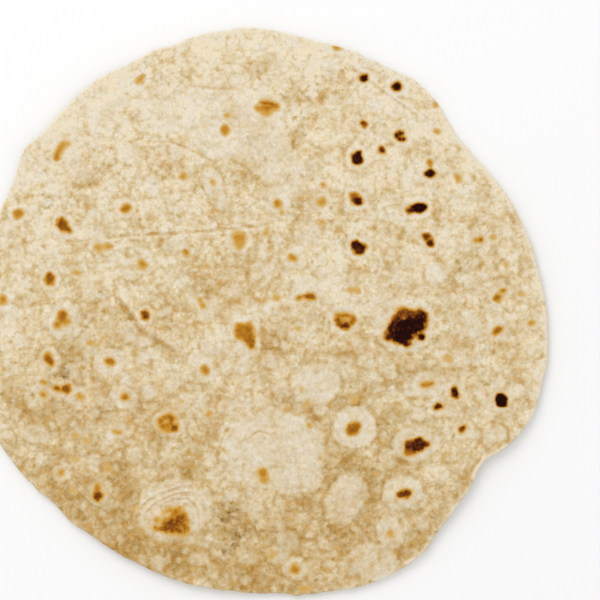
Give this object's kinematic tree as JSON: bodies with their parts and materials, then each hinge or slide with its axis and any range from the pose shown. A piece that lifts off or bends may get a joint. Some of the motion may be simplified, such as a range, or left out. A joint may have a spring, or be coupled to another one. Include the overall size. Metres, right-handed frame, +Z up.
{
  "type": "chapati",
  "caption": "Thin round soft wheat flatbread with an uneven outline, low blisters, browned spots and a slightly lifted rim, to lay on a plate, stack or roll.",
  "frame": {"origin": "centre of the outline's bounding box, on the plane that the underside rests on", "axes": "+Z up through the thin direction, out of the blistered face; +X to the right and +Y away from the viewer when the bread is seen from above with its tucked edge at the lower right"},
  "size_m": [0.2032, 0.2, 0.0042],
  "materials": {
    "wheat_crust": "matte"
  },
  "bodies": {
    "root": {"chapati": "wheat_crust"}
  },
  "joints": []
}
